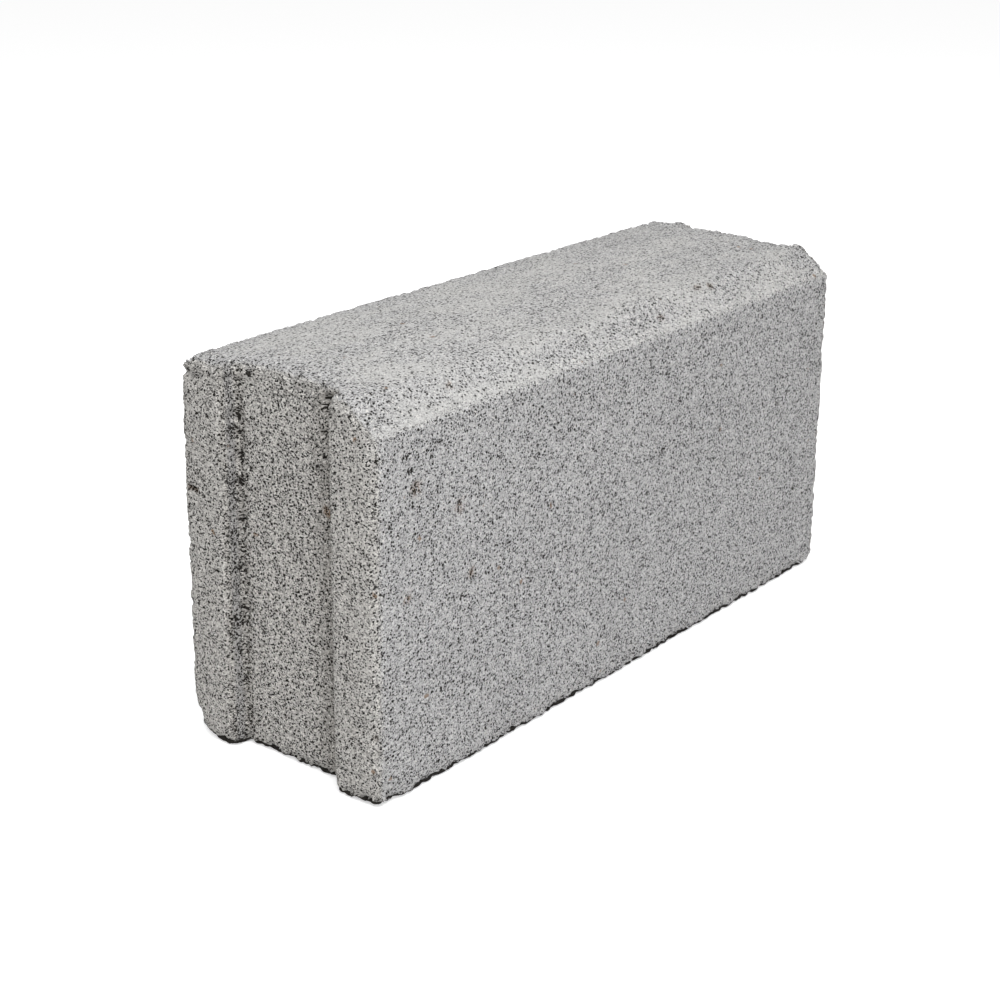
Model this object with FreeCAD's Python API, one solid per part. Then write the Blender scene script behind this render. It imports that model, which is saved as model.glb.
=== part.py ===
import FreeCAD
import Part

import math
import os

# Precast concrete kerb, standing on its bed as it is laid.
# Millimetres.  X runs along the kerb, Y across it, Z up.
# The origin is the middle of the bed.  The road side faces -Y, the footway side +Y.

# Overall sizes
LENGTH = 500.0
WIDTH = 160.0
HEIGHT = 250.0

# Top: a flat chamfer on the road side, then a slightly crowned tread
CHAMFER_WIDTH = 22.0
CHAMFER_HEIGHT = 18.5
CROWN_RISE = 4.0
CHAMFER_BLEND_RADIUS = 12.0

# Joint groove: one upright channel in the middle of each end, open above and below
GROOVE_WIDTH = 84.0
GROOVE_DEPTH = 11.5
GROOVE_DRAFT_DEG = 9.0
GROOVE_MOUTH_RADIUS = 7.0
GROOVE_ROOT_RADIUS = 3.0

# Rounding that the mould leaves on the other edges
CORNER_RADIUS = 8.0
TOP_EDGE_RADIUS = 6.0
BOTTOM_EDGE_RADIUS = 4.0

# How far a cutting shape runs past the faces that it cuts
OVERSHOOT = 10.0
# The largest share of its neighbour that a rounding may take
ROUNDING_SHARE = 0.9
# Two heights nearer than this are the same height
LEVEL_TOLERANCE = 0.01


def rounded_outline(points, radii):
    """Closed wire through the points, with a tangent arc of the given radius at each."""
    count = len(points)
    reaches = []
    for index in range(count):
        here = points[index]
        to_last = points[index - 1] - here
        to_next = points[(index + 1) % count] - here
        half_turn = (math.pi - to_last.getAngle(to_next)) / 2.0
        reaches.append(radii[index] * math.tan(half_turn))
    starts = []
    ends = []
    arcs = []
    for index in range(count):
        here = points[index]
        to_last = (points[index - 1] - here).normalize()
        to_next = (points[(index + 1) % count] - here).normalize()
        reach = reaches[index]
        start = here + to_last * reach
        end = here + to_next * reach
        inward = (to_last + to_next).normalize()
        centre_distance = math.hypot(reach, radii[index])
        middle = here + inward * (centre_distance - radii[index])
        starts.append(start)
        ends.append(end)
        arcs.append(Part.Arc(start, middle, end).toShape())
    edges = []
    for index in range(count):
        edges.append(arcs[index])
        following = (index + 1) % count
        edges.append(Part.LineSegment(ends[index], starts[following]).toShape())
    return Part.Wire(edges)


def plan_outline():
    """The block seen from above: a rectangle with a groove in each end."""
    half_length = LENGTH / 2.0
    half_width = WIDTH / 2.0
    mouth = GROOVE_WIDTH / 2.0
    root = mouth - GROOVE_DEPTH * math.tan(math.radians(GROOVE_DRAFT_DEG))
    floor = half_length - GROOVE_DEPTH

    # Half of the outline, at the +X end, from the road side to the footway side
    end_points = [
        (half_length, -half_width, CORNER_RADIUS),
        (half_length, -mouth, GROOVE_MOUTH_RADIUS),
        (floor, -root, GROOVE_ROOT_RADIUS),
        (floor, root, GROOVE_ROOT_RADIUS),
        (half_length, mouth, GROOVE_MOUTH_RADIUS),
        (half_length, half_width, CORNER_RADIUS),
    ]
    points = [FreeCAD.Vector(x, y, 0) for x, y, radius in end_points]
    radii = [radius for x, y, radius in end_points]
    # The other end is the same, turned half a turn about the middle
    points += [FreeCAD.Vector(-x, -y, 0) for x, y, radius in end_points]
    radii += radii
    return rounded_outline(points, radii)


def waste_above_top():
    """Everything above the chamfer and the crowned tread, as one long prism."""
    road = -WIDTH / 2.0
    footway = WIDTH / 2.0
    shoulder = HEIGHT - CROWN_RISE
    tread_start = road + CHAMFER_WIDTH
    tread_middle = (tread_start + footway) / 2.0
    x_start = -LENGTH / 2.0 - OVERSHOOT

    def at(y, z):
        return FreeCAD.Vector(x_start, y, z)

    # The chamfer's line is carried on past the road face
    slope = CHAMFER_HEIGHT / CHAMFER_WIDTH
    chamfer_out = at(road - OVERSHOOT, shoulder - CHAMFER_HEIGHT - slope * OVERSHOOT)
    tread_edge = at(tread_start, shoulder)

    # The crown's arc rises to HEIGHT in the middle of the tread
    half_chord = (footway - tread_start) / 2.0
    crown_radius = (half_chord ** 2 + CROWN_RISE ** 2) / (2.0 * CROWN_RISE)
    reach = half_chord + OVERSHOOT
    fall = crown_radius - math.sqrt(crown_radius ** 2 - reach ** 2)
    crown_out = at(tread_middle + reach, HEIGHT - fall)
    crown = Part.Arc(tread_edge, at(tread_middle, HEIGHT), crown_out).toShape()

    sky = HEIGHT + 2.0 * OVERSHOOT
    chamfer = Part.LineSegment(chamfer_out, tread_edge).toShape()
    footway_side = Part.LineSegment(crown_out, at(crown_out.y, sky)).toShape()
    lid = Part.LineSegment(at(crown_out.y, sky), at(chamfer_out.y, sky)).toShape()
    road_side = Part.LineSegment(at(chamfer_out.y, sky), chamfer_out).toShape()
    section = Part.Face(Part.Wire([chamfer, crown, footway_side, lid, road_side]))
    return section.extrude(FreeCAD.Vector(LENGTH + 2.0 * OVERSHOOT, 0, 0))


def chamfer_ridge(solid):
    """The long edge where the chamfer meets the tread."""
    ridge_y = -WIDTH / 2.0 + CHAMFER_WIDTH
    ridge_z = HEIGHT - CROWN_RISE
    found = []
    for edge in solid.Edges:
        middle = edge.CenterOfMass
        level = abs(middle.z - ridge_z) < LEVEL_TOLERANCE
        if level and abs(middle.y - ridge_y) < LEVEL_TOLERANCE:
            found.append(edge)
    return found


def is_upright(face):
    """True where the face's normal is level all over, as on the sides and grooves."""
    u_min, u_max, v_min, v_max = face.ParameterRange
    normal = face.normalAt((u_min + u_max) / 2.0, (v_min + v_max) / 2.0)
    return abs(normal.z) < LEVEL_TOLERANCE


def top_loop(solid):
    """The edges that run round the top, where it meets the upright faces."""
    lowest = HEIGHT - CROWN_RISE - CHAMFER_HEIGHT - LEVEL_TOLERANCE
    found = []
    for edge in solid.Edges:
        if edge.BoundBox.ZMin < lowest:
            continue
        upright = [is_upright(face) for face in solid.ancestorsOfType(edge, Part.Face)]
        if any(upright) and not all(upright):
            found.append(edge)
    return found


def bottom_loop(solid):
    """The edges round the bed."""
    return [edge for edge in solid.Edges if edge.BoundBox.ZMax < LEVEL_TOLERANCE]


def kerb():
    """The whole kerb: one casting."""
    block = Part.Face(plan_outline()).extrude(FreeCAD.Vector(0, 0, HEIGHT + OVERSHOOT))
    block = block.cut(waste_above_top())
    block = block.makeFillet(CHAMFER_BLEND_RADIUS, chamfer_ridge(block))
    # An edge rounding stays inside the upright corners that it runs round
    tightest_corner = min(CORNER_RADIUS, GROOVE_MOUTH_RADIUS)
    top_radius = min(TOP_EDGE_RADIUS, ROUNDING_SHARE * tightest_corner)
    bottom_radius = min(BOTTOM_EDGE_RADIUS, ROUNDING_SHARE * tightest_corner)
    block = block.makeFillet(top_radius, top_loop(block))
    block = block.makeFillet(bottom_radius, bottom_loop(block))
    return block


def main():
    os.makedirs("parts", exist_ok=True)
    solid = kerb()
    assert solid.isValid() and len(solid.Solids) == 1
    solid.Solids[0].exportStep("parts/kerb.step")
    box = solid.BoundBox
    print("kerb", box.XLength, box.YLength, box.ZLength, "volume", solid.Volume)


main()
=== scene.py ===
import math

import bpy
import numpy as np
from bpy.props import FloatProperty, FloatVectorProperty, PointerProperty
from mathutils import Matrix, Vector


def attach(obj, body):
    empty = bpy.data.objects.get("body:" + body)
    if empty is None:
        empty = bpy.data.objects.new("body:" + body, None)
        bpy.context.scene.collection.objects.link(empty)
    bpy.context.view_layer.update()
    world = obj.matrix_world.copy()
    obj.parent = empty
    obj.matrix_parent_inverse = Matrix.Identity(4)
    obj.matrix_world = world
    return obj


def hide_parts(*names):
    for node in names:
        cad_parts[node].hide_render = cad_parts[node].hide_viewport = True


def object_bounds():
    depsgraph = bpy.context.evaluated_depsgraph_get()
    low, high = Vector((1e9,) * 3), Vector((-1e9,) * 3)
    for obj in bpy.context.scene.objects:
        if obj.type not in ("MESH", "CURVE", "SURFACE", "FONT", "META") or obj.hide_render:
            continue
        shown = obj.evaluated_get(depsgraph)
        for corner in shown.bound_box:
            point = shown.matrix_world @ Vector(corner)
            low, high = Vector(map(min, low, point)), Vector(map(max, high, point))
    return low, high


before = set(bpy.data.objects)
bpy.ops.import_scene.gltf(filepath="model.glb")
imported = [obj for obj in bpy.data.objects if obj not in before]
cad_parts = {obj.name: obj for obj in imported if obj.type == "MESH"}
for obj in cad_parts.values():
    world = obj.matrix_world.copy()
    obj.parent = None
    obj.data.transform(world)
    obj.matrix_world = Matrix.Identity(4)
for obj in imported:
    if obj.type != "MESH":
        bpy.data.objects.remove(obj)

bl_info = {
    "name": "Concrete Kerb",
    "version": (1, 0, 0),
    "blender": (4, 5, 0),
    "location": "3D View > Sidebar > Kerb",
    "description": "Models a pressed concrete kerb over its construction model, and its stage",
    "category": "Object",
}

# The construction model's box, which the finished block has to stay inside
CAD_LOW, CAD_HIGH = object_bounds()
CAD_CENTRE = (CAD_LOW + CAD_HIGH) / 2
CAD_SIZE = CAD_HIGH - CAD_LOW
CAD_NODE = "kerb"
PIECE = "kerb_block"

# Lengths nearer than this are the same
SNAP = 0.0001

# The block's edges turn by more than this, and its crown by less
SHARP_TURN = math.radians(25)
EDGE_SEGMENTS = 3

# A noise texture seldom leaves this range
NOISE_LOW, NOISE_HIGH = 0.3, 0.7

# Distances over which a Voronoi cell fades from its middle to its border
CELL_MIDDLE, CELL_BORDER = 0.1, 0.8

# Where the lamps stand and how wide they are
OVERHEAD_PLACE, OVERHEAD_WIDTH = (-0.8, -0.85, 2.2), 1.6
ROAD_SIDE_PLACE, ROAD_SIDE_WIDTH = (-0.9, -2.0, 0.9), 1.2
BACK_PLACE, BACK_WIDTH = (1.2, 2.0, 0.8), 1.2


# ---------------------------------------------------------------- settings

class KerbShapeSettings(bpy.types.PropertyGroup):
    groove_width: FloatProperty(
        name="Groove width", description="Width of the upright groove in each end, at its mouth",
        default=0.084, unit="LENGTH")
    groove_depth: FloatProperty(
        name="Groove depth", description="How far the groove is let into the end",
        default=0.0115, unit="LENGTH")
    groove_draft: FloatProperty(
        name="Groove draft", description="Lean of the groove's walls away from square",
        default=math.radians(9), subtype="ANGLE")
    chamfer_width: FloatProperty(
        name="Chamfer width", description="How far the chamfer reaches in from the road face",
        default=0.022, unit="LENGTH")
    chamfer_height: FloatProperty(
        name="Chamfer height", description="How far the chamfer falls to the road face",
        default=0.0185, unit="LENGTH")
    crown_rise: FloatProperty(
        name="Crown rise", description="Height of the tread's middle above its two edges",
        default=0.004, unit="LENGTH")
    edge_rounding: FloatProperty(
        name="Edge rounding", description="Width of the rounding on the block's edges",
        default=0.005, unit="LENGTH")


class KerbSkinSettings(bpy.types.PropertyGroup):
    grid: FloatProperty(
        name="Grid", description="Size of the skin's faces on the long sides and the tread",
        default=0.0031, unit="LENGTH")
    fine_band: FloatProperty(
        name="Fine band", description="Width of the finer faces beside each long edge",
        default=0.006, unit="LENGTH")
    hollow_depth: FloatProperty(
        name="Hollow depth", description="Depth of the broad unevenness of every side",
        default=0.0004, unit="LENGTH")
    granule_size: FloatProperty(
        name="Granule size", description="Distance between the grains that stand out of the surface",
        default=0.0026, unit="LENGTH")
    granule_depth: FloatProperty(
        name="Granule depth", description="Relief of the grains on the roughest sides",
        default=0.0006, unit="LENGTH")
    sand_size: FloatProperty(
        name="Sand size", description="Size of the sand grains that colour the surface",
        default=0.00075, unit="LENGTH")
    lump_size: FloatProperty(
        name="Lump size", description="Size of the lumps that the sand and cement make",
        default=0.0019, unit="LENGTH")
    pore_spacing: FloatProperty(
        name="Pore spacing", description="Distance between the small pores",
        default=0.0020, unit="LENGTH")
    tread_drag: FloatProperty(
        name="Tread drag", description="Scale of the tread's pattern along the block: under 1 draws it out",
        default=0.85)
    end_drag: FloatProperty(
        name="End drag", description="Scale of the ends' pattern across the block: under 1 draws it out",
        default=0.85)
    pit_size: FloatProperty(
        name="Pit size", description="Distance between the open pits, most of them in the ends",
        default=0.0075, unit="LENGTH")
    pit_depth: FloatProperty(
        name="Pit depth", description="Depth of the open pits, which are deepest in the ends",
        default=0.0022, unit="LENGTH")
    crumb_depth: FloatProperty(
        name="Crumb depth", description="How far crumbs are missing from the bottom edges",
        default=0.0027, unit="LENGTH")
    wear_depth: FloatProperty(
        name="Wear depth", description="How far the edges are worn back between their lumps",
        default=0.0028, unit="LENGTH")
    corner_depth: FloatProperty(
        name="Corner depth", description="How far the corners are rounded off",
        default=0.0015, unit="LENGTH")


class ConcreteColourSettings(bpy.types.PropertyGroup):
    grain: FloatVectorProperty(
        name="Grain", description="Cement-coated grains on the long sides",
        default=(0.43, 0.427, 0.428), subtype="COLOR")
    end_grain: FloatVectorProperty(
        name="End grain", description="Grains on the two ends, a little warmer",
        default=(0.435, 0.422, 0.401), subtype="COLOR")
    # Also paints the pale highlight on the edges and along the chamfer's lower edge
    paste: FloatVectorProperty(
        name="Paste", description="Smoother cement paste on the tread",
        default=(0.50, 0.495, 0.485), subtype="COLOR")
    # Painted shade: near black in the pores, gaps, pits and torn places, and on the bottom edges where the
    # block's shadow falls
    pore: FloatVectorProperty(
        name="Pore", description="Bottom of the pores between the grains",
        default=(0.014, 0.012, 0.010), subtype="COLOR")
    # Painted shade, not dust or damp: laid on the groove's floor beside the road-side ridge, where its
    # shadow falls, and on the groove's walls
    grime: FloatVectorProperty(
        name="Grime", description="Dust and damp in the corners of the grooves",
        default=(0.22, 0.205, 0.185), subtype="COLOR")
    fleck: FloatVectorProperty(
        name="Fleck", description="Bare pale sand grains",
        default=(0.72, 0.70, 0.67), subtype="COLOR")
    rust: FloatVectorProperty(
        name="Rust", description="Rare iron-stained grains",
        default=(0.24, 0.155, 0.095), subtype="COLOR")


class StageSettings(bpy.types.PropertyGroup):
    floor_size: FloatProperty(
        name="Floor size", description="Side of the square floor",
        default=24.0, unit="LENGTH")
    floor_colour: FloatVectorProperty(
        name="Floor colour", description="Colour of the pale floor",
        default=(0.9, 0.9, 0.9), subtype="COLOR")
    floor_glow: FloatProperty(
        name="Floor glow", description="Light that the floor adds for the camera to read as white",
        default=0.48)
    sky_level: FloatProperty(
        name="Sky level", description="Strength of the even light from all round",
        default=0.63)
    key_power: FloatProperty(
        name="Key power", description="Power of the large lamp overhead",
        default=43.0, unit="POWER")
    back_power: FloatProperty(
        name="Back power", description="Power of the lamp behind the block",
        default=9.0, unit="POWER")
    side_power: FloatProperty(
        name="Side power", description="Power of the lamp on the road side",
        default=6.0, unit="POWER")
    camera_place: FloatVectorProperty(
        name="Camera place", description="Where the camera stands",
        default=(-0.9707, -0.7471, 0.5677), subtype="TRANSLATION")
    camera_heading: FloatProperty(
        name="Camera heading", description="Turn of the camera about the upright axis, from facing +Y",
        default=math.radians(-51.2), subtype="ANGLE")
    camera_fall: FloatProperty(
        name="Camera fall", description="How far the camera looks down",
        default=math.radians(17.23), subtype="ANGLE")
    camera_roll: FloatProperty(
        name="Camera roll", description="Turn of the camera about its own line of sight",
        default=math.radians(0.42), subtype="ANGLE")
    lens_ratio: FloatProperty(
        name="Lens ratio", description="Focal length over the width of the sensor",
        default=1.905)
    lens_shift: FloatProperty(
        name="Lens shift", description="Upward shift of the lens, as a share of the picture",
        default=-0.12)


# ---------------------------------------------------------------- modelling helpers

def only(piece):
    """Selects one object and nothing else."""
    bpy.ops.object.select_all(action="DESELECT")
    piece.select_set(True)
    bpy.context.view_layer.objects.active = piece


def edit_select(piece, mode, wanted):
    """In edit mode, selects the vertices or faces that wanted(item) accepts."""
    bpy.ops.object.mode_set(mode="EDIT")
    bpy.ops.mesh.select_mode(type=mode)
    bpy.ops.mesh.select_all(action="DESELECT")
    bpy.ops.object.mode_set(mode="OBJECT")
    items = piece.data.vertices if mode == "VERT" else piece.data.polygons
    flags = [bool(wanted(item)) for item in items]
    items.foreach_set("select", flags)
    bpy.ops.object.mode_set(mode="EDIT")
    if not any(flags):
        raise RuntimeError("nothing on the block lies where it was looked for")


def slice_block(place, normal):
    """Cuts a new line of edges right round the block, in the plane through place."""
    bpy.ops.mesh.select_all(action="SELECT")
    bpy.ops.mesh.bisect(plane_co=place, plane_no=normal)


def apply_modifier(piece, kind, **values):
    """Adds a modifier with these values and applies it."""
    modifier = piece.modifiers.new(kind.lower(), kind)
    for key, value in values.items():
        setattr(modifier, key, value)
    only(piece)
    bpy.ops.object.modifier_apply(modifier=modifier.name)


def coordinates(piece):
    """The vertices as an array of points, one to a row."""
    points = np.empty(len(piece.data.vertices) * 3, np.float32)
    piece.data.vertices.foreach_get("co", points)
    return points.reshape(-1, 3)


def normals(piece):
    """The vertex normals as an array, one to a row."""
    arrows = np.empty(len(piece.data.vertices) * 3, np.float32)
    piece.data.vertex_normals.foreach_get("vector", arrows)
    return arrows.reshape(-1, 3)


def ramp(values, start, end):
    """0 at start, 1 at end, smooth between."""
    share = np.clip((values - start) / (end - start), 0, 1)
    return share * share * (3 - 2 * share)


def store(piece, name, values):
    """A number or a place at each vertex, for the relief and the material to read."""
    if values.ndim == 1:
        layer = piece.data.attributes.new(name, "FLOAT", "POINT")
        layer.data.foreach_set("value", values.astype(np.float32))
    else:
        layer = piece.data.attributes.new(name, "FLOAT_VECTOR", "POINT")
        layer.data.foreach_set("vector", values.astype(np.float32).ravel())


# ---------------------------------------------------------------- the block's form

def rough_form(shape):
    """The block's flat-sided form: a box with its end grooves, chamfer and crowned tread."""
    bpy.ops.mesh.primitive_cube_add(size=1, location=CAD_CENTRE, scale=CAD_SIZE)
    piece = bpy.context.object
    piece.name = PIECE
    piece.data.name = PIECE
    only(piece)
    bpy.ops.object.transform_apply(location=True, rotation=True, scale=True)

    mouth = shape.groove_width / 2
    root = mouth - shape.groove_depth * math.tan(shape.groove_draft)
    tread_start = CAD_LOW.y + shape.chamfer_width
    half_tread = (CAD_HIGH.y - tread_start) / 2
    tread_middle = tread_start + half_tread
    tread_lines = [tread_start + half_tread * (step / 4) for step in range(1, 8)]

    bpy.ops.object.mode_set(mode="EDIT")
    for y in (-mouth, -root, root, mouth, tread_start, *tread_lines):
        slice_block((0, y, 0), (0, 1, 0))

    # Each groove's floor is pushed in, and its walls lean after it
    for side in (-1, 1):
        end = side * CAD_SIZE.x / 2
        edit_select(piece, "VERT", lambda v: abs(v.co.x - end) < SNAP and abs(v.co.y) < root + SNAP)
        bpy.ops.transform.translate(value=(-side * shape.groove_depth, 0, 0))

    # The road edge is pressed down to make the chamfer
    edit_select(piece, "VERT", lambda v: v.co.z > CAD_HIGH.z - SNAP and v.co.y < CAD_LOW.y + SNAP)
    bpy.ops.transform.translate(value=(0, 0, -shape.crown_rise - shape.chamfer_height))

    # The rest of the top falls away from the crown
    bpy.ops.object.mode_set(mode="OBJECT")
    lines = sorted({round(v.co.y, 5) for v in piece.data.vertices if v.co.z > CAD_HIGH.z - SNAP})
    for y in lines:
        fall = shape.crown_rise * ((y - tread_middle) / half_tread) ** 2
        if fall > SNAP:
            edit_select(piece, "VERT", lambda v: v.co.z > CAD_HIGH.z - SNAP and abs(v.co.y - y) < SNAP)
            bpy.ops.transform.translate(value=(0, 0, -fall))
    bpy.ops.object.mode_set(mode="OBJECT")
    return piece


def even_skin(piece, shape, skin):
    """Rounds the edges and lays an even grid of faces over the form, finer at the ends and edges."""
    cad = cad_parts[CAD_NODE]
    apply_modifier(piece, "BEVEL", width=shape.edge_rounding, segments=EDGE_SEGMENTS,
                   limit_method="ANGLE", angle_limit=SHARP_TURN)
    apply_modifier(piece, "REMESH", mode="VOXEL", voxel_size=skin.grid)
    apply_modifier(piece, "SHRINKWRAP", target=cad, wrap_method="NEAREST_SURFACEPOINT")

    end_start = CAD_HIGH.x - shape.groove_depth - skin.fine_band
    chamfer_foot = CAD_HIGH.z - shape.crown_rise - shape.chamfer_height
    band = skin.fine_band

    def wants_detail(face):
        place = face.center
        if abs(place.x) > end_start:
            return True
        at_foot = place.z < band and abs(place.y) > CAD_HIGH.y - band
        at_back = place.z > CAD_HIGH.z - 2 * band and place.y > CAD_HIGH.y - band
        at_chamfer = abs(place.z - chamfer_foot) < band and place.y < CAD_LOW.y + band
        return at_foot or at_back or at_chamfer

    edit_select(piece, "FACE", wants_detail)
    bpy.ops.mesh.subdivide(number_cuts=1)
    bpy.ops.object.mode_set(mode="OBJECT")
    apply_modifier(piece, "SHRINKWRAP", target=cad, wrap_method="NEAREST_SURFACEPOINT")


# ---------------------------------------------------------------- node graphs

class Graph:
    """A tree of nodes, made and joined by short calls."""

    def __init__(self, tree):
        self.tree = tree
        self.tree.nodes.clear()

    def node(self, kind, inputs=None, **values):
        made = self.tree.nodes.new(kind)
        for key, value in values.items():
            setattr(made, key, value)
        for key, value in (inputs or {}).items():
            if isinstance(value, bpy.types.NodeSocket):
                self.tree.links.new(value, made.inputs[key])
            else:
                made.inputs[key].default_value = value
        return made

    def calc(self, operation, *terms):
        return self.node("ShaderNodeMath", dict(enumerate(terms)), operation=operation).outputs[0]

    def add(self, first, *others):
        for other in others:
            first = self.calc("ADD", first, other)
        return first

    def times(self, first, *others):
        for other in others:
            first = self.calc("MULTIPLY", first, other)
        return first

    def spread(self, value, low, high, to_low=0.0, to_high=1.0, kind="SMOOTHSTEP"):
        """to_low where value is low, to_high where it is high, smooth between and level outside."""
        made = self.node("ShaderNodeMapRange", {
            "Value": value, "From Min": low, "From Max": high, "To Min": to_low, "To Max": to_high,
        }, interpolation_type=kind)
        return made.outputs["Result"]

    def noise(self, place, size, detail=2.0, roughness=0.5, output="Fac"):
        made = self.node("ShaderNodeTexNoise", {
            "Vector": place, "Scale": 1 / size, "Detail": detail, "Roughness": roughness})
        return made.outputs[output]

    def cells(self, place, size):
        return self.node("ShaderNodeTexVoronoi", {"Vector": place, "Scale": 1 / size}).outputs

    def stretch(self, place, scale):
        return self.node("ShaderNodeVectorMath", {0: place, 1: scale}, operation="MULTIPLY").outputs[0]

    def wander(self, place, size, reach):
        """The place, moved about at random by up to reach."""
        wobble = self.noise(place, size, 2.0, 0.5, "Color")
        middle = (0.5, 0.5, 0.5)
        width = (2 * reach, 2 * reach, 2 * reach)
        centred = self.node("ShaderNodeVectorMath", {0: wobble, 1: middle}, operation="SUBTRACT")
        shift = {0: centred.outputs[0], 1: width, 2: place}
        return self.node("ShaderNodeVectorMath", shift, operation="MULTIPLY_ADD").outputs[0]

    def random(self, cells, which=0):
        """A number from 0 to 1 for each cell, one of three."""
        return self.node("ShaderNodeSeparateXYZ", {0: cells["Color"]}).outputs[which]


def pores(g, place, openness, size):
    """Small pores, apart from each other: more and wider where the concrete is open."""
    cells = g.cells(g.wander(place, 0.45 * size, 0.18 * size), size)
    crowd = g.spread(g.noise(place, 9 * size, 2.0), NOISE_LOW, NOISE_HIGH, -0.07, 0.07)
    chance = g.add(g.random(cells), openness, crowd)
    # Reach is a pore's half-width as a share of its cell, and a rare pore is wider than the rest
    narrowing = g.spread(openness, 0.5, 0.85, 1.0, 0.88)
    usual_reach = g.times(g.spread(chance, 0.3, 1.15, 0.10, 0.35), narrowing)
    rare_reach = g.times(g.calc("GREATER_THAN", g.random(cells, 1), 0.97), 0.13)
    reach = g.add(usual_reach, rare_reach)
    return g.spread(g.calc("SUBTRACT", reach, cells["Distance"]), -0.03, 0.04)


def pits(g, place, openness, size):
    """Open pits that a few lost grains leave."""
    cells = g.cells(g.wander(place, 0.4 * size, 0.3 * size), size)
    chance = g.add(g.random(cells), g.times(openness, 0.42))
    reach = g.spread(chance, 0.95, 1.45, 0.0, 0.50)
    return g.spread(g.calc("SUBTRACT", reach, cells["Distance"]), 0.0, 0.22)


# ---------------------------------------------------------------- the block's relief

# Share of a flaw's half-length that keeps its full depth
FLAW_CORE = 0.35

# Distances over which the block's features fade
GROOVE_BLEND = 0.002
END_BLEND = 0.006
WALL_INSET, WALL_REACH = 0.003, 0.008
# Where the painted shade on the groove's floor starts and ends
GRIME_START, GRIME_END = -0.012, -0.036
FOOT_HEIGHT, CURL_HEIGHT = 0.012, 0.008
EDGE_REACH = 0.016
RIM_LENGTH, RIM_HEIGHT = 0.045, 0.030
CORNER_REACH = 0.040
ARRIS_RISE, ARRIS_REACH = 0.0025, 0.0045

# Openness of a plain side, and what each feature adds to it or takes from it
PLAIN_OPENNESS = 0.44
END_OPENING, WALL_OPENING, RIM_OPENING, FOOT_OPENING = 0.29, 0.45, 0.15, 0.2
TREAD_CLOSING, ARRIS_CLOSING = 0.10, 0.2

# Sizes of the relief's broad patterns
HOLLOW_SIZE, WEAR_SIZE, CRUMB_SIZE = 0.05, 0.007, 0.0065

# The corners of the -X end are worn, and those of the +X end less so
FAR_CORNER_WEAR = 0.3


class Flaw:
    """A hole or stain: its centre, half-lengths along X, Y and Z, depth, and how torn and rusty."""

    def __init__(self, centre, reach, depth, torn=0.75, rust=0.0):
        self.centre = np.array(centre)
        self.reach = np.array(reach)
        self.depth = depth
        self.torn = torn
        self.rust = rust

    def share(self, points):
        """1 at the middle of the hole, 0 outside it, for each point."""
        away = np.linalg.norm((points - self.centre) / self.reach, axis=1)
        return ramp(away, 1.0, FLAW_CORE)


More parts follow.
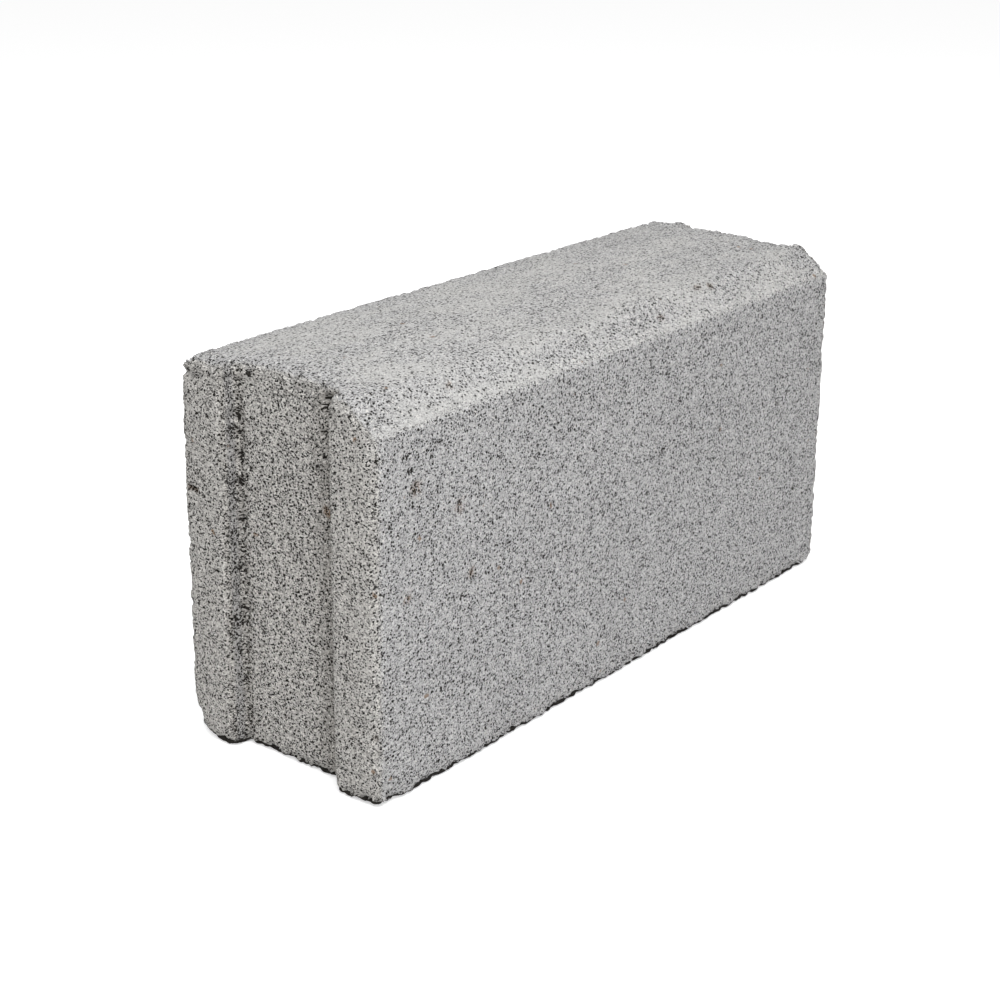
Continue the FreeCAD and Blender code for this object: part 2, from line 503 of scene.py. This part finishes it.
FLAWS = (
    # The torn corner of the -X groove below the tread, on the road side
    Flaw((-0.240, -0.034, 0.240), (0.008, 0.006, 0.005), 0.005, torn=0.9),
    Flaw((-0.240, -0.031, 0.234), (0.008, 0.004, 0.003), 0.004, torn=0.9),
    Flaw((-0.240, -0.038, 0.232), (0.008, 0.003, 0.003), 0.004, torn=0.9),
    Flaw((-0.2385, -0.030, 0.218), (0.008, 0.0025, 0.004), 0.003),
    Flaw((-0.2385, -0.030, 0.204), (0.008, 0.003, 0.0025), 0.004, torn=0.9),
    # Holes and a short crack down the groove's other wall, and a stain on its floor
    Flaw((-0.240, 0.038, 0.203), (0.008, 0.004, 0.004), 0.002, torn=0.6),
    Flaw((-0.241, 0.039, 0.216), (0.008, 0.003, 0.006), 0.002),
    Flaw((-0.240, 0.038, 0.190), (0.008, 0.003, 0.006), 0.002),
    Flaw((-0.240, 0.039, 0.172), (0.008, 0.007, 0.0025), 0.002, torn=0.8),
    Flaw((-0.240, 0.035, 0.178), (0.008, 0.003, 0.003), 0.003),
    Flaw((-0.240, 0.038, 0.150), (0.008, 0.003, 0.006), 0.002),
    Flaw((-0.240, 0.039, 0.118), (0.008, 0.004, 0.004), 0.002),
    Flaw((-0.240, 0.038, 0.092), (0.008, 0.003, 0.006), 0.002),
    Flaw((-0.2385, -0.032, 0.172), (0.005, 0.005, 0.005), 0.0005, torn=0.4, rust=1.0),
    # The ridge on the footway side, and its broken bottom corner
    Flaw((-0.250, 0.071, 0.165), (0.006, 0.009, 0.0022), 0.003, torn=0.85, rust=0.8),
    Flaw((-0.250, 0.064, 0.101), (0.006, 0.003, 0.002), 0.002),
    Flaw((-0.249, 0.075, 0.058), (0.006, 0.003, 0.0025), 0.003),
    Flaw((-0.250, 0.052, 0.116), (0.006, 0.007, 0.0016), 0.002),
    Flaw((-0.250, 0.080, 0.000), (0.030, 0.016, 0.024), 0.005, torn=0.0),
    # The rim of the tread, and the corner on the road side
    Flaw((-0.249, 0.036, 0.246), (0.006, 0.007, 0.004), 0.004),
    Flaw((-0.247, -0.012, 0.244), (0.006, 0.004, 0.0025), 0.004),
    Flaw((-0.223, -0.080, 0.211), (0.0040, 0.004, 0.0036), 0.001, torn=1.0),
    Flaw((-0.220, -0.080, 0.202), (0.0045, 0.004, 0.0032), 0.001, torn=1.0),
    Flaw((-0.215, -0.080, 0.191), (0.0060, 0.004, 0.0060), 0.001, torn=0.8, rust=0.8),
    Flaw((-0.249, -0.078, 0.140), (0.004, 0.004, 0.0025), 0.003),
    Flaw((-0.249, -0.077, 0.046), (0.004, 0.004, 0.0025), 0.003, torn=0.8, rust=0.4),
    # Scattered holes and stains on the road side
    Flaw((-0.177, -0.080, 0.169), (0.0060, 0.004, 0.0060), 0.0005, torn=0.5, rust=0.6),
    Flaw((-0.166, -0.080, 0.124), (0.0042, 0.004, 0.0040), 0.001, torn=0.7, rust=1.0),
    Flaw((-0.223, -0.080, 0.126), (0.0040, 0.004, 0.0036), 0.001, torn=0.7, rust=1.0),
    Flaw((-0.174, -0.080, 0.111), (0.0044, 0.004, 0.0038), 0.001, torn=1.0),
    Flaw((-0.102, -0.080, 0.180), (0.0044, 0.004, 0.0040), 0.001, torn=1.0),
    Flaw((0.034, -0.080, 0.146), (0.0050, 0.004, 0.0045), 0.001, torn=1.0),
    Flaw((0.214, -0.080, 0.070), (0.0070, 0.004, 0.0045), 0.001, torn=0.95),
    # Stained holes along the chamfer and the tread's far end
    Flaw((-0.170, -0.066, 0.239), (0.0035, 0.004, 0.004), 0.001, torn=0.8, rust=0.6),
    Flaw((0.041, -0.070, 0.2355), (0.0050, 0.004, 0.004), 0.001, torn=0.8, rust=0.6),
    Flaw((0.098, -0.060, 0.2435), (0.0060, 0.004, 0.004), 0.001, torn=0.8, rust=0.6),
    Flaw((0.112, -0.062, 0.2425), (0.0050, 0.004, 0.004), 0.001, torn=0.8, rust=0.6),
)


class Places:
    """Where each vertex of the skin lies, as shares from 0 to 1 for the relief and the finish."""

    def __init__(self, piece, shape):
        points = coordinates(piece)
        facing = normals(piece)
        x, y, z = points.T
        half = CAD_SIZE / 2
        end_gap = half.x - np.abs(x)
        side_gap = half.y - np.abs(y)
        foot = z - CAD_LOW.z
        head = CAD_HIGH.z - z
        mouth = shape.groove_width / 2

        self.points = points
        self.end = ramp(end_gap, shape.groove_depth + END_BLEND, shape.groove_depth)
        self.end *= ramp(np.abs(facing[:, 0]), 0.2, 0.6)
        in_groove = ramp(end_gap, shape.groove_depth + GROOVE_BLEND, shape.groove_depth)
        self.wall = ramp(np.abs(np.abs(y) - mouth + WALL_INSET), WALL_REACH, WALL_REACH / 4) * in_groove
        self.tread = ramp(facing[:, 2], 0.4, 0.75)
        self.bed = ramp(-facing[:, 2], 0.5, 0.8)
        # Painted shadow on the bottom edges, which face partly down, and the flat bed is left out
        self.under = np.clip(-facing[:, 2], 0, 1) * ramp(foot, CURL_HEIGHT, CURL_HEIGHT / 2)
        self.under *= ramp(-facing[:, 2], 0.97, 0.85)
        # Painted shade on the groove's floor against the ridge on the road side, where the ridge's shadow
        # falls
        self.grime = ramp(y, GRIME_START, GRIME_END) * ramp(-y, mouth + 0.002, mouth - 0.003)
        self.grime *= in_groove * self.end
        # The gap to the second nearest side of the block stands for the gap to an edge
        groove_floor_gap = shape.groove_depth * ramp(np.abs(y), mouth + 0.001, mouth - 0.002)
        near = np.sort(np.stack([end_gap - groove_floor_gap, side_gap, foot, head]), axis=0)
        self.foot = ramp(foot, FOOT_HEIGHT, FOOT_HEIGHT / 4) * ramp(near[1], 0.009, 0.002)
        self.foot *= 1 - 0.85 * self.bed
        self.edge = ramp(near[1], EDGE_REACH, 0.003)
        # The chamfer's lower edge is rubbed smooth, and a pale painted highlight runs along it
        arris_height = CAD_HIGH.z - shape.crown_rise - shape.chamfer_height + ARRIS_RISE
        self.arris = ramp(np.abs(z - arris_height), ARRIS_REACH, ARRIS_REACH / 3)
        self.arris *= ramp(-y, half.y - 0.008, half.y - 0.004) * ramp(facing[:, 2], 0.15, 0.45)
        self.rim = ramp(end_gap, RIM_LENGTH, 0.010) * ramp(head, RIM_HEIGHT, 0.012)
        self.corner = ramp(near[0] + near[1] + near[2], CORNER_REACH, 0.006)
        self.corner *= np.where(x < 0, 1.0, FAR_CORNER_WEAR)
        opened = END_OPENING * self.end + WALL_OPENING * self.wall
        opened += RIM_OPENING * self.rim + FOOT_OPENING * self.foot
        closed = TREAD_CLOSING * self.tread + ARRIS_CLOSING * self.arris
        self.openness = np.clip(PLAIN_OPENNESS + opened - closed, 0, 1)
        self.torn = np.zeros(len(points))
        self.cavity = np.zeros(len(points))
        self.rust = np.zeros(len(points))
        for flaw in FLAWS:
            share = flaw.share(points)
            self.torn = np.maximum(self.torn, share * flaw.torn)
            self.cavity = np.maximum(self.cavity, share * flaw.depth)
            self.rust = np.maximum(self.rust, share * flaw.rust)


def relief_tree(skin):
    """The relief: every part of it presses the skin in, so the block never outgrows its mould."""
    tree = bpy.data.node_groups.new("concrete_relief", "GeometryNodeTree")
    tree.interface.new_socket("Geometry", in_out="INPUT", socket_type="NodeSocketGeometry")
    tree.interface.new_socket("Geometry", in_out="OUTPUT", socket_type="NodeSocketGeometry")
    g = Graph(tree)

    def reading(name):
        return g.node("GeometryNodeInputNamedAttribute", {"Name": name}).outputs["Attribute"]

    skin_in = g.node("NodeGroupInput").outputs[0]
    place = g.node("GeometryNodeInputPosition").outputs[0]
    openness = reading("openness")
    worn = reading("worn")
    hollow = g.times(g.noise(place, HOLLOW_SIZE, 2.0), skin.hollow_depth)
    grain = g.spread(g.cells(place, skin.granule_size)["Distance"], 0.15, 0.95)
    grain = g.times(grain, g.spread(openness, 0.38, 0.9, 0.3, 1.0), g.spread(worn, 0.2, 0.9, 1.0, 1.9))
    grain = g.times(grain, skin.granule_depth)
    lumps = g.spread(g.noise(place, WEAR_SIZE, 3.0, 0.6), 0.38, 0.66)
    lumps = g.times(lumps, worn, skin.wear_depth)
    rounding = g.times(reading("corner"), skin.corner_depth)
    crumbs = g.spread(g.noise(place, CRUMB_SIZE, 2.0), 0.42, 0.62)
    crumbs = g.times(crumbs, reading("foot"), skin.crumb_depth)
    pit = g.times(pits(g, place, openness, skin.pit_size), skin.pit_depth, reading("pitted"))
    depth = g.add(hollow, grain, lumps, rounding, crumbs, pit, reading("cavity"))

    facing = g.node("GeometryNodeInputNormal").outputs["Normal"]
    outward = g.times(depth, -1.0)
    inward = g.node("ShaderNodeVectorMath", {0: facing, "Scale": outward}, operation="SCALE")
    pressed = g.node("GeometryNodeSetPosition", {"Geometry": skin_in, "Offset": inward.outputs[0]})
    g.node("NodeGroupOutput", {0: pressed.outputs[0]})
    return tree


def relief(piece, shape, skin):
    """Presses the concrete's open texture, pits, crumbled foot and worn corners into the skin."""
    places = Places(piece, shape)
    worn = 0.5 * places.edge + 0.5 * places.rim + 0.5 * places.corner
    pitted = 0.1 + 0.5 * places.end * (1 - places.wall) + 0.1 * places.rim
    store(piece, "rest_place", places.points)
    store(piece, "openness", places.openness)
    store(piece, "end_face", places.end)
    store(piece, "tread_face", places.tread * (1 - 0.8 * places.edge) * (1 - 0.7 * places.rim))
    store(piece, "worn", np.clip(worn, 0, 1))
    store(piece, "corner", places.corner)
    store(piece, "edge", places.edge)
    # Painted highlight along the chamfer's lower edge
    store(piece, "arris", places.arris)
    store(piece, "top", places.tread)
    store(piece, "foot", places.foot)
    # Painted shadow where the bottom edges face down
    store(piece, "under", places.under)
    store(piece, "grime", places.grime)
    store(piece, "wall", places.wall)
    store(piece, "pitted", np.clip(pitted, 0, 1))
    store(piece, "torn", places.torn)
    store(piece, "rust", places.rust)
    store(piece, "cavity", places.cavity)
    apply_modifier(piece, "NODES", node_group=relief_tree(skin))


# ---------------------------------------------------------------- materials

def opaque(colour):
    return (*colour, 1.0)


class ConcreteFinish:
    """The parts of the concrete's material, made one after another in its node tree."""

    # Sizes of the patterns that are coarser than the grains
    RAGGED_SIZE = 0.0013
    LUMP_WANDER_SIZE, LUMP_WANDER = 0.002, 0.0006
    RUST_BORDER_SIZE, RUST_BREAK_SIZE = 0.002, 0.0025
    CURL_SIZE = 0.006
    SCUFF_SIZE = 0.007
    PATCH_SIZE = 0.020
    SMEAR_SIZE, SMEAR_STRETCH = 0.022, (0.4, 1.0, 1.0)
    RARE_RUST_SPACING = 0.030
    CLOUD_SIZE = 0.090

    # How much brighter or darker than the average each pattern makes the concrete; the dome and grit
    # patterns are painted light on the middles of lumps and grains and painted shade in the creases between
    # them
    SAND_LIGHTEST, SAND_DARKEST = 0.24, -0.72
    LUMP_TONE, DOME_TONE, GRIT_TONE, CLOUD_TONE = 0.06, 0.08, 0.12, 0.02
    BARE_CONTRAST, PASTE_CONTRAST, END_CONTRAST = 1.25, 0.65, 1.25

    # How much of a colour shows where its share is 1
    # Painted shade on the groove's floor and walls
    GRIME_SHARE, WALL_GRIME_SHARE = 0.5, 0.35
    # Paler edges, partly scuffed wear and partly painted highlight, and the painted highlight on the
    # chamfer's lower edge
    SCUFF_SHARE, ARRIS_SCUFF = 0.4, 1.5
    FLECK_SHARE, FLECK_RARITY = 0.9, 0.955
    RUST_SHARE = 0.75
    # Painted shade in the holes, and painted shadow under the bottom edges
    HOLE_SHARE, PASTED_HOLE_SHARE, CURL_SHARE = 0.96, 0.86, 0.97

    # Heights of the bump
    DOME_HEIGHT, GRIT_HEIGHT, PORE_HEIGHT = 0.0004, 0.0002, -0.0006

    def __init__(self, g, colours, skin):
        self.g = g
        self.colours = colours
        self.skin = skin
        self.true_place = self.reading("rest_place", "Vector")
        self.openness = self.reading("openness")
        self.wall = self.reading("wall")
        self.place = self.drawn_out()
        self.sand = g.cells(self.place, skin.sand_size)
        wandering = g.wander(self.place, self.LUMP_WANDER_SIZE, self.LUMP_WANDER)
        self.lumps = g.cells(wandering, skin.lump_size)
        self.grit = g.spread(self.sand["Distance"], CELL_MIDDLE, CELL_BORDER, 1.0, 0.0)
        self.dome = g.spread(self.lumps["Distance"], CELL_MIDDLE, CELL_BORDER, 1.0, 0.0)
        self.pore = pores(g, self.place, self.openness, skin.pore_spacing)
        self.paste = self.paste_share()

    def reading(self, name, output="Fac"):
        return self.g.node("ShaderNodeAttribute", attribute_name=name).outputs[output]

    def blend(self, share, first, second, kind="MIX"):
        mix = {0: share, 6: first, 7: second}
        return self.g.node("ShaderNodeMix", mix, data_type="RGBA", blend_type=kind).outputs[2]

    def drawn_out(self):
        """The place as the patterns read it: drawn out along the tread and across the ends."""
        g = self.g
        on_top = g.calc("GREATER_THAN", self.reading("top"), 0.5)
        on_end = g.calc("GREATER_THAN", self.reading("end_face"), 0.5)
        along = g.spread(on_top, 0.0, 1.0, 1.0, self.skin.tread_drag)
        across = g.spread(on_end, 0.0, 1.0, 1.0, self.skin.end_drag)
        squash = g.node("ShaderNodeCombineXYZ", {0: along, 1: across, 2: 1.0}).outputs[0]
        return g.stretch(self.true_place, squash)

    def paste_share(self):
        """How far smears of cement paste cover the grains, which they do on the tread."""
        g = self.g
        smear = g.noise(g.stretch(self.true_place, self.SMEAR_STRETCH), self.SMEAR_SIZE, 4.0, 0.6)
        return g.times(self.reading("tread_face"), g.spread(smear, 0.42, 0.62, 0.3, 1.0))

    def holes(self):
        """How far each point lies in a pore, a gap between lumps, a pit or a torn place."""
        g = self.g
        gap_start = g.spread(self.openness, 0.2, 1.0, 1.05, 0.93)
        gap = g.spread(g.calc("SUBTRACT", self.lumps["Distance"], gap_start), 0.0, 0.06)
        pit = pits(g, self.true_place, self.openness, self.skin.pit_size)
        pit = g.spread(g.times(pit, self.reading("pitted")), 0.25, 0.5)
        patches = g.spread(g.noise(self.true_place, self.PATCH_SIZE, 2.0), 0.35, 0.6, 0.15, 0.56)
        crowd = g.times(self.wall, patches)
        raggedness = g.noise(self.place, self.RAGGED_SIZE, 1.0)
        raggedness = g.spread(raggedness, NOISE_LOW, NOISE_HIGH, -0.55, 0.55)
        torn = g.spread(g.add(g.calc("MAXIMUM", self.reading("torn"), crowd), raggedness), 0.68, 0.80)
        return g.calc("MAXIMUM", g.calc("MAXIMUM", self.pore, gap), g.calc("MAXIMUM", pit, torn))

    def grain_colour(self):
        """The grains' colour: warmer on the ends, paler under paste, with painted shade on the groove's
        floor and walls, and paler on the edges, partly scuffed and partly a painted highlight.
        """
        g = self.g
        colours = self.colours
        # Paler edges, partly scuffed wear and partly painted highlight
        scuff = g.spread(g.noise(self.true_place, self.SCUFF_SIZE, 3.0, 0.6), 0.45, 0.65)
        scuff = g.times(self.reading("edge"), scuff)
        # Painted highlight along the chamfer's lower edge
        scuff = g.calc("MAXIMUM", scuff, g.times(self.reading("arris"), self.ARRIS_SCUFF))
        colour = self.blend(self.reading("end_face"), opaque(colours.grain), opaque(colours.end_grain))
        colour = self.blend(self.paste, colour, opaque(colours.paste))
        # Painted shade, darker on the groove's floor beside the road-side ridge and on the groove's walls
        in_corners = g.times(self.reading("grime"), self.GRIME_SHARE)
        on_walls = g.times(self.wall, self.WALL_GRIME_SHARE)
        colour = self.blend(in_corners, colour, opaque(colours.grime))
        colour = self.blend(on_walls, colour, opaque(colours.grime))
        return self.blend(g.times(scuff, self.SCUFF_SHARE), colour, opaque(colours.paste))

    def shade(self):
        """The brightness of each grain, 1 on average, with painted light on the middles of lumps and grains
        and painted shade in the creases between them.
        """
        g = self.g
        contrast = g.spread(self.paste, 0.0, 1.0, self.BARE_CONTRAST, self.PASTE_CONTRAST)
        at_ends = g.spread(self.reading("end_face"), 0.0, 1.0, 1.0, self.END_CONTRAST)
        contrast = g.times(contrast, at_ends)

        def uneven(value, reach):
            return g.add(1.0, g.times(g.spread(value, 0.0, 1.0, -reach, reach), contrast))

        # Most sand grains are pale and a few are dark
        sand_tone = g.calc("POWER", g.random(self.sand), 3.0)
        sand_tone = g.spread(sand_tone, 0.0, 1.0, self.SAND_LIGHTEST, self.SAND_DARKEST, "LINEAR")
        shade = g.add(1.0, g.times(sand_tone, contrast))
        shade = g.times(shade, uneven(g.random(self.lumps), self.LUMP_TONE))
        # Painted light and shade: lighter on the middle of each lump and grain, darker in the creases
        # between them
        shade = g.times(shade, uneven(self.dome, self.DOME_TONE), uneven(self.grit, self.GRIT_TONE))
        clouds = g.noise(self.true_place, self.CLOUD_SIZE, 3.0)
        clouds = g.spread(clouds, NOISE_LOW, NOISE_HIGH, 1 - self.CLOUD_TONE, 1 + self.CLOUD_TONE)
        return g.times(shade, clouds)

    def rust_share(self):
        """Rare iron stains, and those of the flaws."""
        g = self.g
        border = g.noise(self.place, self.RUST_BORDER_SIZE)
        border = g.spread(border, NOISE_LOW, NOISE_HIGH, -0.03, 0.03)
        middles = g.cells(self.true_place, self.RARE_RUST_SPACING)["Distance"]
        rare = g.spread(g.add(middles, border), 0.07, 0.03)
        broken = g.spread(g.noise(self.true_place, self.RUST_BREAK_SIZE, 2.0), 0.35, 0.55)
        at_flaws = g.times(self.reading("rust"), broken)
        return g.times(g.calc("MAXIMUM", rare, at_flaws), self.RUST_SHARE)

    def darkness(self):
        """Painted shade: how black each point is, in the pores, gaps, pits and torn places, and on the
        bottom edges where they face down.
        """
        g = self.g
        hole_share = g.spread(self.paste, 0.0, 1.0, self.HOLE_SHARE, self.PASTED_HOLE_SHARE)
        dark = g.times(self.holes(), hole_share)
        # Painted shadow on the bottom edges where they face down, with a ragged upper border
        raggedness = g.noise(self.true_place, self.CURL_SIZE, 1.0)
        raggedness = g.spread(raggedness, NOISE_LOW, NOISE_HIGH, -0.22, 0.22)
        under = g.add(self.reading("under"), raggedness)
        return g.calc("MAXIMUM", dark, g.spread(under, 0.34, 0.44, 0.0, self.CURL_SHARE))

    def colour(self):
        g = self.g
        shade = self.shade()
        level = g.node("ShaderNodeCombineColor", {"Red": shade, "Green": shade, "Blue": shade})
        colour = self.blend(1.0, self.grain_colour(), level.outputs[0], "MULTIPLY")
        pale_grain = g.calc("GREATER_THAN", g.random(self.sand, 1), self.FLECK_RARITY)
        pale_grain = g.times(pale_grain, self.FLECK_SHARE)
        colour = self.blend(pale_grain, colour, opaque(self.colours.fleck))
        colour = self.blend(self.rust_share(), colour, opaque(self.colours.rust))
        # The holes and the bottom edges get painted shade
        return self.blend(self.darkness(), colour, opaque(self.colours.pore))

    def bump(self):
        """Relief finer than the mesh."""
        g = self.g
        dome = g.times(self.dome, self.DOME_HEIGHT)
        grit = g.times(self.grit, self.GRIT_HEIGHT)
        height = g.add(dome, grit, g.times(self.pore, self.PORE_HEIGHT))
        bump = g.node("ShaderNodeBump", {"Strength": 1.0, "Distance": 1.0, "Height": height})
        return bump.outputs[0]


def concrete_material(colours, skin):
    """Open-textured pressed concrete: cement-coated grains, pores between them, paste on the tread."""
    material = bpy.data.materials.new("pressed_concrete")
    material.use_nodes = True
    g = Graph(material.node_tree)
    finish = ConcreteFinish(g, colours, skin)
    shader = g.node("ShaderNodeBsdfPrincipled", {
        "Base Color": finish.colour(), "Roughness": 0.9, "Specular IOR Level": 0.1,
        "Normal": finish.bump()})
    g.node("ShaderNodeOutputMaterial", {"Surface": shader.outputs[0]})
    return material


def floor_material(stage):
    """A pale matt floor that the camera sees as white, with the block's shadow on it."""
    material = bpy.data.materials.new("pale_floor")
    material.use_nodes = True
    g = Graph(material.node_tree)
    matt = g.node("ShaderNodeBsdfDiffuse", {"Color": opaque(stage.floor_colour)})
    rays = g.node("ShaderNodeLightPath").outputs
    seen = g.calc("MAXIMUM", rays["Is Camera Ray"], rays["Is Glossy Ray"])
    seen = g.calc("MAXIMUM", seen, rays["Is Transmission Ray"])
    glow = g.node("ShaderNodeEmission", {"Strength": g.times(seen, stage.floor_glow)})
    both = g.node("ShaderNodeAddShader", {0: matt.outputs[0], 1: glow.outputs[0]})
    g.node("ShaderNodeOutputMaterial", {"Surface": both.outputs[0]})
    return material


# ---------------------------------------------------------------- the stage

def white_world(stage):
    """Even light from all round, which the camera sees as plain white."""
    world = bpy.data.worlds.new("white_studio")
    world.use_nodes = True
    bpy.context.scene.world = world
    g = Graph(world.node_tree)
    rays = g.node("ShaderNodeLightPath").outputs
    seen = g.calc("MAXIMUM", rays["Is Camera Ray"], rays["Is Glossy Ray"])
    seen = g.calc("MAXIMUM", seen, rays["Is Transmission Ray"])
    light = g.node("ShaderNodeBackground", {"Strength": g.spread(seen, 0.0, 1.0, stage.sky_level, 1.0)})
    g.node("ShaderNodeOutputWorld", {"Surface": light.outputs[0]})


def soft_lamp(name, place, width, power):
    """A large square lamp that faces the block."""
    bpy.ops.object.light_add(type="AREA", location=place)
    lamp = bpy.context.object
    lamp.name = name
    lamp.data.shape = "SQUARE"
    lamp.data.size = width
    lamp.data.energy = power
    lamp.rotation_euler = (CAD_CENTRE - Vector(place)).to_track_quat("-Z", "Y").to_euler()


def camera(stage):
    """The camera that frames the block."""
    bpy.ops.object.camera_add()
    made = bpy.context.object
    made.name = "kerb_camera"
    turn = Matrix.Rotation(stage.camera_heading, 4, "Z")
    tilt = Matrix.Rotation(math.pi / 2 - stage.camera_fall, 4, "X")
    roll = Matrix.Rotation(stage.camera_roll, 4, "Z")
    made.matrix_world = Matrix.Translation(stage.camera_place) @ turn @ tilt @ roll
    made.data.lens = stage.lens_ratio * made.data.sensor_width
    made.data.shift_y = stage.lens_shift
    made.data.clip_start = 0.01
    made.data.clip_end = 100.0
    bpy.context.scene.camera = made


# ---------------------------------------------------------------- operators

class KERB_OT_block(bpy.types.Operator):
    """Model the concrete block with its relief and finish"""
    bl_idname = "kerb.block"
    bl_label = "Kerb Block"
    bl_options = {"REGISTER", "UNDO"}

    def execute(self, context):
        shape = context.scene.kerb_shape
        skin = context.scene.kerb_skin
        piece = rough_form(shape)
        even_skin(piece, shape, skin)
        relief(piece, shape, skin)
        only(piece)
        bpy.ops.object.shade_smooth()
        piece.data.materials.clear()
        piece.data.materials.append(concrete_material(context.scene.kerb_colours, skin))
        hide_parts(CAD_NODE)
        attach(piece, "root")
        return {"FINISHED"}


class KERB_OT_stage(bpy.types.Operator):
    """Set up the floor, the light and the camera"""
    bl_idname = "kerb.stage"
    bl_label = "Kerb Stage"
    bl_options = {"REGISTER", "UNDO"}

    def execute(self, context):
        stage = context.scene.kerb_stage
        bpy.ops.mesh.primitive_plane_add(size=stage.floor_size, location=(0, 0, CAD_LOW.z))
        floor = bpy.context.object
        floor.name = "studio_floor"
        floor.data.materials.append(floor_material(stage))
        white_world(stage)
        soft_lamp("overhead_lamp", OVERHEAD_PLACE, OVERHEAD_WIDTH, stage.key_power)
        soft_lamp("road_side_lamp", ROAD_SIDE_PLACE, ROAD_SIDE_WIDTH, stage.side_power)
        soft_lamp("back_lamp", BACK_PLACE, BACK_WIDTH, stage.back_power)
        camera(stage)
        context.scene.view_settings.view_transform = "Standard"
        return {"FINISHED"}


class KERB_PT_panel(bpy.types.Panel):
    """Lists the kerb's settings and operators"""
    bl_idname = "KERB_PT_panel"
    bl_label = "Concrete Kerb"
    bl_space_type = "VIEW_3D"
    bl_region_type = "UI"
    bl_category = "Kerb"

    def draw(self, context):
        scene = context.scene
        groups = (("Shape", scene.kerb_shape), ("Skin", scene.kerb_skin),
                  ("Colours", scene.kerb_colours), ("Stage", scene.kerb_stage))
        for title, group in groups:
            box = self.layout.box()
            box.label(text=title)
            for name in group.__annotations__:
                box.prop(group, name)
        self.layout.operator(KERB_OT_block.bl_idname)
        self.layout.operator(KERB_OT_stage.bl_idname)


CLASSES = (KerbShapeSettings, KerbSkinSettings, ConcreteColourSettings, StageSettings,
           KERB_OT_block, KERB_OT_stage, KERB_PT_panel)
SETTINGS = {"kerb_shape": KerbShapeSettings, "kerb_skin": KerbSkinSettings,
            "kerb_colours": ConcreteColourSettings, "kerb_stage": StageSettings}


def register():
    for made in CLASSES:
        bpy.utils.register_class(made)
    for name, group in SETTINGS.items():
        setattr(bpy.types.Scene, name, PointerProperty(type=group))


def unregister():
    for name in SETTINGS:
        delattr(bpy.types.Scene, name)
    for made in reversed(CLASSES):
        bpy.utils.unregister_class(made)


def main():
    register()
    bpy.ops.kerb.block()
    bpy.ops.kerb.stage()


if __name__ == "__main__":
    main()
